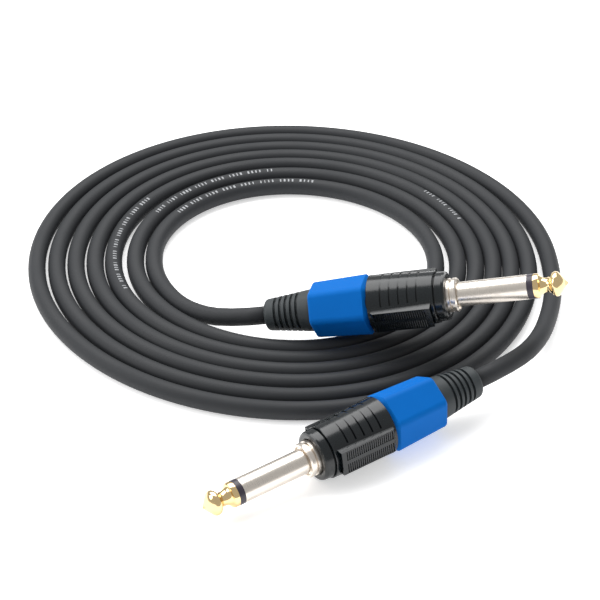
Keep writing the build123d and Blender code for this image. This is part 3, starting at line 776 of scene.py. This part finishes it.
@dataclass
class Plug:
    """One jack plug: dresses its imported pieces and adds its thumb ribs."""

    place: PlugFrame
    nodes: dict[str, bpy.types.Object]
    ribs: ThumbRibs = field(default_factory=ThumbRibs)

    PIECES = {
        "contact_tip": Slot.GOLD,
        "insulator_ring": Slot.DARK_INSULATOR,
        "inner_tube": Slot.WHITE_INSULATOR,
        "contact_sleeve": Slot.NICKEL,
        "neck_ring": Slot.NICKEL,
        "ground_lug": Slot.TINNED,
        "rear_washer": Slot.WHITE_INSULATOR,
        "tip_lug": Slot.TINNED,
        "core_conductor": Slot.COPPER,
        "core_insulation": Slot.WHITE_INSULATOR,
        "woven_shield": Slot.COPPER,
        "jacket_end": Slot.RUBBER,
        "shield_tail": Slot.COPPER,
        "tip_solder": Slot.SOLDER,
        "shield_solder": Slot.SOLDER,
        "housing": Slot.HOUSING,
        "chuck": Slot.WHITE_INSULATOR,
        "collar_nut": Slot.NUT,
        "boot": Slot.RUBBER,
    }
    TURNED_PIECES = ("contact_sleeve", "neck_ring")
    MERGE_DISTANCE = 0.001 * MM
    SHARP_ANGLE = radians(32)

    def finishes(self) -> dict[Slot, Finish]:
        """Return the finish of each slot; those of turned and stranded metal follow the plug's axis."""
        axis = tuple(self.place.along)
        name = self.place.end.plug
        return {
            Slot.GOLD: TurnedMetal(f"{name}_gold_plate", (0.9, 0.68, 0.36), 0.12, axis),
            Slot.NICKEL: TurnedMetal(f"{name}_nickel_plate", (0.78, 0.72, 0.65), 0.28, axis),
            Slot.TINNED: TurnedMetal(f"{name}_tinned_sheet", (0.66, 0.64, 0.6), 0.35, axis),
            Slot.SOLDER: TurnedMetal(f"{name}_set_solder", (0.6, 0.6, 0.6), 0.3, axis, 0.4 * MM),
            Slot.COPPER: CopperStrand(f"{name}_copper_strands", (0.72, 0.38, 0.2), axis),
            Slot.DARK_INSULATOR: MouldedPlastic(f"{name}_dark_nylon", tone(50, 44, 56), 0.35),
            Slot.WHITE_INSULATOR: MouldedPlastic(f"{name}_white_nylon", tone(222, 220, 212), 0.4),
            Slot.HOUSING: MouldedPlastic(
                f"{name}_gloss_black", tone(14, 20, 23), 0.21, grain_size=0.5 * MM, grain_depth=0.0015 * MM
            ),
            Slot.NUT: MouldedPlastic(
                f"{name}_satin_blue", tone(0, 100, 184), 0.55, flow=0.04, gloss_level=0.08
            ),
            Slot.RUBBER: BootRubber(f"{name}_soft_black", tone(38, 45, 48), tone(52, 57, 59)),
        }

    def dress(self) -> None:
        """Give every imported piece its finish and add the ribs."""
        made = {slot: finish.material() for slot, finish in self.finishes().items()}
        for piece, slot in self.PIECES.items():
            node = self.nodes[f"{self.place.end.plug}_{piece}"]
            for holder in node.material_slots:
                holder.material = made[slot]
        for piece in self.TURNED_PIECES:
            self.smooth(piece)
        tip = TurnedTip().mesh(self.place, self.nodes[f"{self.place.end.plug}_contact_tip"])
        tip.materials.append(made[Slot.GOLD])
        self.swap("contact_tip", tip)
        ribs = self.ribs.build(self.place, made[Slot.HOUSING])
        LOG.info("%s: %d pieces dressed, %s added", self.place.end.plug, len(self.PIECES), ribs.name)

    def smooth(self, piece: str) -> None:
        """Put a smoothly shaded copy in the place of a turned piece.

        Args:
            piece: Name of the piece, without the plug's own.
        """
        name = f"{self.place.end.plug}_{piece}"
        mesh = self.nodes[name].data.copy()
        kept = mesh.attributes.get("custom_normal")
        if kept is not None:
            mesh.attributes.remove(kept)
        shape = bmesh.new()
        shape.from_mesh(mesh)
        bmesh.ops.remove_doubles(shape, verts=shape.verts, dist=self.MERGE_DISTANCE)
        for edge in shape.edges:
            edge.smooth = edge.is_manifold and edge.calc_face_angle() < self.SHARP_ANGLE
        for face in shape.faces:
            face.smooth = True
        shape.to_mesh(mesh)
        shape.free()
        self.swap(piece, mesh)

    def swap(self, piece: str, mesh: bpy.types.Mesh) -> None:
        """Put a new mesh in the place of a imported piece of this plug."""
        name = f"{self.place.end.plug}_{piece}"
        turned = add_object(f"{name}_turned", mesh)
        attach(turned, MAIN_BODY)
        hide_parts(name)

    def riding_pieces(self) -> list[bpy.types.Object]:
        """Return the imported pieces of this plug."""
        return [self.nodes[f"{self.place.end.plug}_{piece}"] for piece in self.PIECES]


# ============================== the free cable ==============================


@dataclass(frozen=True)
class CoilShape:
    """Loose flat coil: how far each pass lies from the centre, innermost first, in four directions."""

    centre: tuple[float, float] = (-24.35 * MM, 71.65 * MM)
    left: tuple[float, ...] = (38.7, 43.8, 49.9, 55.0, 60.3, 65.6, 71.1)
    back: tuple[float, ...] = (39.1, 45.3, 51.1, 56.0, 60.85, 65.7, 70.6)
    right: tuple[float, ...] = (39.6, 45.7, 50.6, 55.45, 60.3, 65.15, 71.2)
    front: tuple[float, ...] = (43.6, 48.6, 53.8, 58.8, 64.7, 70.4)
    lean: float = 0.015
    start: float = 0.045
    finish: float = 26.0
    points_per_turn: int = 36

    def distance(self, quarters: float) -> float:
        """Return how far the cable lies from the centre, some quarter turns from the left."""
        passes = []
        for number, left in enumerate(self.left):
            passes += [left, self.back[number], self.right[number], *self.front[number : number + 1]]
        before = min(floor(quarters), len(passes) - 2)
        blend = (1 - cos(pi * (quarters - before))) / 2
        return (passes[before] * (1 - blend) + passes[before + 1] * blend) * MM

    def point(self, quarters: float, height: float) -> Vector:
        """Return the middle of the cable, some quarter turns clockwise from the left."""
        angle = pi - quarters * pi / 2
        reach = self.distance(quarters) * (1 - self.lean * sin(2 * angle))
        return Vector((self.centre[0] + reach * cos(angle), self.centre[1] + reach * sin(angle), height))

    def points(self, height: float) -> list[Vector]:
        """Return the points of all the turns, from the innermost to the outermost."""
        steps = round((self.finish - self.start) / 4 * self.points_per_turn)
        span = self.finish - self.start
        return [self.point(self.start + span * step / steps, height) for step in range(steps + 1)]


@dataclass
class CoiledCable:
    """The whole free cable: out of one boot, round the coil and into the other boot."""

    coil: CoilShape
    rear: PlugFrame
    front: PlugFrame
    diameter: float = 4.8 * MM
    length: float = 2403 * MM
    start_station: float = 79.0 * MM
    boot_back: float = 80.0 * MM
    sides: int = 32
    spans: int = 4
    path: list[Vector] = field(default_factory=list)

    UV_NAME = "unrolled"
    REAR_ROUTE = (
        (-42.25 * MM, 38.55 * MM, 4.6 * MM),
        (-52.5 * MM, 46.2 * MM, 2.4 * MM),
        (-58.45 * MM, 54.2 * MM, 2.4 * MM),
        (-62.3 * MM, 64.3 * MM, 2.4 * MM),
    )
    FRONT_ROUTE = (
        (32.2 * MM, 12.2 * MM, 10.0 * MM),
        (39.3 * MM, 25.0 * MM, 7.6 * MM),
        (43.65 * MM, 40.65 * MM, 4.2 * MM),
        (46.55 * MM, 56.05 * MM, 2.4 * MM),
    )

    def route(self) -> list[Vector]:
        """Return the points that the cable is guided by."""
        rear = [self.rear.at(self.start_station)] + [Vector(point) for point in self.REAR_ROUTE]
        front = [Vector(point) for point in reversed(self.FRONT_ROUTE)] + [self.front.at(self.start_station)]
        return rear + self.coil.points(self.diameter / 2) + front

    def trace(self) -> None:
        """Draw the route as one smooth spline and read its line back."""
        curve = bpy.data.curves.new("cable_line", "CURVE")
        curve.dimensions = "3D"
        points = self.route()
        spline = curve.splines.new("NURBS")
        spline.points.add(len(points) - 1)
        for holder, point in zip(spline.points, points):
            holder.co = (*point, 1.0)
        spline.order_u = 3
        spline.use_endpoint_u = True
        spline.resolution_u = self.spans
        line = bpy.data.objects.new("cable_line", curve)
        bpy.context.scene.collection.objects.link(line)
        seen = line.evaluated_get(bpy.context.evaluated_depsgraph_get())
        mesh = bpy.data.meshes.new_from_object(seen)
        self.path = [vertex.co.copy() for vertex in mesh.vertices]
        bpy.data.objects.remove(line)
        bpy.data.meshes.remove(mesh)

    def directions(self, number: int) -> tuple[Vector, Vector, Vector]:
        """Return the way along the cable, the way to its side and the way up, at one point of its line."""
        before = self.path[max(number - 1, 0)]
        after = self.path[min(number + 1, len(self.path) - 1)]
        along = (after - before).normalized()
        side = along.cross(Vector((0, 0, 1))).normalized()
        return along, side, side.cross(along)

    def surface_point(self, number: int, turn: float, lift: float = 0.0) -> tuple[Vector, Vector]:
        """Return a point of the jacket and the way out from it.

        Args:
            number: Which point of the cable's line.
            turn: Share of a turn round the cable, from underneath.
            lift: Height over the jacket in metres.

        Returns:
            The point and the direction.
        """
        _, side, up = self.directions(number)
        out = side * sin(2 * pi * turn) - up * cos(2 * pi * turn)
        return self.path[number] + out * (self.diameter / 2 + lift), out

    def travelled(self) -> list[float]:
        """Return the distance along the cable to each point of its line."""
        distances = [0.0]
        for before, after in zip(self.path, self.path[1:]):
            distances.append(distances[-1] + (after - before).length)
        return distances

    def build(self, material: bpy.types.Material, pieces: Sequence[bpy.types.Object]) -> bpy.types.Object:
        """Make the jacket as a closed tube, unrolled on its own map.

        Args:
            material: The jacket's material.
            pieces: What is on the far end; not used.

        Returns:
            The cable.
        """
        points = [
            self.surface_point(number, around / self.sides)[0]
            for number in range(len(self.path))
            for around in range(self.sides)
        ]
        last = (len(self.path) - 1) * self.sides
        faces = [tuple(range(self.sides)), tuple(reversed(range(last, last + self.sides)))]
        distances = self.travelled()
        corners = [(0.0, 0.5)] * self.sides + [(1.0, 0.5)] * self.sides
        for number in range(len(self.path) - 1):
            low, high = distances[number] / distances[-1], distances[number + 1] / distances[-1]
            for around in range(self.sides):
                ring, following = number * self.sides, (around + 1) % self.sides
                faces.append(
                    (
                        ring + around,
                        ring + self.sides + around,
                        ring + self.sides + following,
                        ring + following,
                    )
                )
                first, second = around / self.sides, (around + 1) / self.sides
                corners += [(low, first), (high, first), (high, second), (low, second)]
        mesh = bpy.data.meshes.new("free_cable")
        mesh.from_pydata(points, [], faces)
        unrolled = mesh.uv_layers.new(name=self.UV_NAME)
        for holder, corner in zip(unrolled.data, corners):
            holder.uv = corner
        mesh.shade_smooth()
        mesh.materials.append(material)
        cable = add_object("free_cable", mesh)
        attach(cable, MAIN_BODY)
        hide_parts("cable_coil", "rear_lead", "front_lead")
        self.rear.at(self.boot_back)
        LOG.info("free cable: %.3f m along its line", distances[-1])
        return cable


@dataclass(frozen=True)
class PrintedStretch:
    """A stretch of the jacket where the printing shows."""

    start: float
    finish: float
    turn: float


@dataclass(frozen=True)
class PrintedMarks:
    """Rows of plain printed dashes on the jacket, in groups with gaps between them."""

    cable: CoiledCable
    stretches: tuple[PrintedStretch, ...] = (
        PrintedStretch(0.36, 1.12, 0.47),
        PrintedStretch(4.3, 4.93, 0.47),
        PrintedStretch(7.75, 8.42, 0.47),
        PrintedStretch(9.55, 9.8, 0.52),
    )
    pitch: float = 1.15 * MM
    narrowest: float = 0.25 * MM
    widest: float = 0.6 * MM
    height: float = 1.05 * MM
    thickness: float = 0.02 * MM
    lift: float = 0.02 * MM
    group: int = 5
    seed: int = 11

    def build(self, material: bpy.types.Material) -> bpy.types.Object:
        """Make all the marks.

        Args:
            material: The ink.

        Returns:
            One piece that rides on the main body.
        """
        tree = GeometryTree(
            "printed_dashes",
            {
                "Mark Pitch": self.pitch,
                "Mark Height": self.height,
                "Mark Thickness": self.thickness,
                "Narrowest": self.narrowest,
                "Widest": self.widest,
                "Cable Radius": self.cable.diameter / 2,
                "Group Length": self.group,
                "Seed": self.seed,
                "Material": material,
            },
        )
        self._marks(tree)
        marks = add_object("printed_marks", tree.mesh(self._lines()))
        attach(marks, MAIN_BODY)
        LOG.info("printed marks: %d faces", len(marks.data.polygons))
        return marks

    def _lines(self) -> bpy.types.Mesh:
        """Return a line along the jacket for each stretch, with the way out stored at each point."""
        points, edges, outs = [], [], []
        for stretch in self.stretches:
            ends = [self._nearest(quarters) for quarters in (stretch.start, stretch.finish)]
            for number in range(*ends):
                if number > ends[0]:
                    edges.append((len(points) - 1, len(points)))
                point, out = self.cable.surface_point(number, stretch.turn, self.lift)
                points.append(point)
                outs.append(out)
        mesh = bpy.data.meshes.new("printed_lines")
        mesh.from_pydata(points, edges, [])
        stored = mesh.attributes.new("out", "FLOAT_VECTOR", "POINT")
        for holder, out in zip(stored.data, outs):
            holder.vector = out
        return mesh

    def _nearest(self, quarters: float) -> int:
        """Return the point of the cable's line nearest to a place in the coil."""
        place = self.cable.coil.point(quarters, self.cable.diameter / 2)
        return min(range(len(self.cable.path)), key=lambda number: (self.cable.path[number] - place).length)

    @staticmethod
    def _marks(tree: GeometryTree) -> None:
        """Set a curved dash at every place of a group, each of its own width."""
        flat = tree.node(
            "GeometryNodeMeshCube",
            None,
            {
                "Size": tree.vector(
                    tree.given("Widest"), tree.given("Mark Height"), tree.given("Mark Thickness")
                ),
                "Vertices Y": 6,
            },
        )
        place = tree.node("GeometryNodeInputPosition")
        across = tree.node("ShaderNodeSeparateXYZ", None, {0: place}, 1)
        sag = across * across / (-2 * tree.given("Cable Radius"))
        dash = tree.node("GeometryNodeSetPosition", None, {"Geometry": flat, "Offset": tree.vector(z=sag)})
        line = tree.node("GeometryNodeMeshToCurve", None, {"Mesh": tree.given("Geometry")})
        spaced = tree.node(
            "GeometryNodeResampleCurve",
            {"mode": "LENGTH"},
            {"Curve": line, "Length": tree.given("Mark Pitch")},
        )
        out = tree.node(
            "GeometryNodeInputNamedAttribute", {"data_type": "FLOAT_VECTOR"}, {"Name": "out"}, "Attribute"
        )
        facing = tree.node(
            "FunctionNodeAxesToRotation",
            {"primary_axis": "Z", "secondary_axis": "X"},
            {"Primary Axis": out, "Secondary Axis": tree.node("GeometryNodeInputTangent")},
        )
        share = tree.node(
            "FunctionNodeRandomValue",
            {"data_type": "FLOAT"},
            {2: tree.given("Narrowest") / tree.given("Widest"), 3: 1.0, "Seed": tree.given("Seed")},
            1,
        )
        inked = tree.node("GeometryNodeInputIndex") % tree.given("Group Length") > 0.5
        placed = tree.node(
            "GeometryNodeInstanceOnPoints",
            None,
            {
                "Points": spaced,
                "Selection": inked,
                "Instance": dash,
                "Rotation": facing,
                "Scale": tree.vector(share, 1.0, 1.0),
            },
        )
        tree.close(placed)


# ============================== studio ==============================


@dataclass(frozen=True)
class Softbox:
    """A rectangular soft light that faces a point."""

    name: str
    centre: tuple[float, float, float]
    target: tuple[float, float, float]
    width: float
    depth: float
    power: float

    def hang(self) -> None:
        """Put the light in the scene."""
        lamp = bpy.data.lights.new(self.name, "AREA")
        lamp.shape = "RECTANGLE"
        lamp.size = self.width
        lamp.size_y = self.depth
        lamp.energy = self.power
        holder = bpy.data.objects.new(self.name, lamp)
        holder.location = self.centre
        aim = Vector(self.target) - Vector(self.centre)
        holder.rotation_euler = aim.to_track_quat("-Z", "Y").to_euler()
        bpy.context.scene.collection.objects.link(holder)


@dataclass(frozen=True)
class Studio:
    """Camera, pale floor, soft lights and plain surroundings."""

    camera_place: tuple[float, float, float] = (-0.02235, -0.42205, 0.32154)
    camera_tilt: float = 56.0
    lens: float = 127.1
    sight: tuple[float, float] = (0.01, 50.0)
    floor_reach: float = 4.0
    floor_drop: float = 0.02 * MM
    surroundings: float = 0.5
    paper: Colour = (0.95, 0.95, 0.95)
    softboxes: tuple[Softbox, ...] = (
        Softbox("overhead_softbox", (-0.15, 0.55, 0.9), (0.0, 0.05, 0.0), 1.3, 0.9, 15.0),
        Softbox("left_softbox", (-1.0, -0.1, 0.6), (0.0, 0.05, 0.0), 0.5, 0.7, 5.0),
    )

    def set_camera(self) -> None:
        """Place the camera and make it the scene's own."""
        lens = bpy.data.cameras.new("camera")
        lens.lens = self.lens
        lens.clip_start, lens.clip_end = self.sight
        camera = bpy.data.objects.new("camera", lens)
        camera.location = self.camera_place
        camera.rotation_euler = (radians(self.camera_tilt), 0.0, 0.0)
        bpy.context.scene.collection.objects.link(camera)
        bpy.context.scene.camera = camera

    def lay_floor(self) -> None:
        """Lay the floor just under the cable."""
        reach, height = self.floor_reach, -self.floor_drop
        corners = [(x * reach, y * reach, height) for x, y in ((-1, -1), (1, -1), (1, 1), (-1, 1))]
        mesh = bpy.data.meshes.new("studio_floor")
        mesh.from_pydata(corners, [], [(0, 1, 2, 3)])
        mesh.materials.append(StudioFloor("pale_table", self.paper).material())
        add_object("studio_floor", mesh)

    def light(self) -> None:
        """Hang the softboxes and set the even light of the room."""
        for softbox in self.softboxes:
            softbox.hang()
        world = bpy.data.worlds.new("studio_room")
        world.use_nodes = True
        graph = Graph(world.node_tree)
        shade = (self.surroundings,) * 3
        room = graph.node("ShaderNodeBackground", None, {"Color": (*shade, 1.0), "Strength": 1.0})
        graph.node("ShaderNodeOutputWorld", None, {"Surface": room})
        bpy.context.scene.world = world
        bpy.context.scene.view_settings.view_transform = "Standard"

    def build(self) -> None:
        """Set everything up."""
        self.set_camera()
        self.lay_floor()
        self.light()
        LOG.info("studio: camera, floor and %d softboxes", len(self.softboxes))


ROLLS = {End.REAR: -8.0, End.FRONT: -7.5}


def main() -> None:
    """Build every sub-assembly in order."""
    logging.basicConfig(level=logging.INFO, format="%(name)s: %(message)s")
    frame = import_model()
    Studio().build()
    plugs = {
        end: Plug(PlugFrame.found(frame, end, roll), frame["nodes"]) for end, roll in ROLLS.items()
    }
    cable = CoiledCable(CoilShape(), plugs[End.REAR].place, plugs[End.FRONT].place)
    cable.trace()
    jacket = DrawnJacket("satin_jacket", tone(38, 40, 43), cable.length, pi * cable.diameter)
    cable.build(jacket.material(), plugs[End.FRONT].riding_pieces())
    PrintedMarks(cable).build(PrintInk("white_print", tone(160, 162, 165), tone(84, 86, 88)).material())
    for plug in plugs.values():
        plug.dress()


if __name__ == "__main__":
    main()
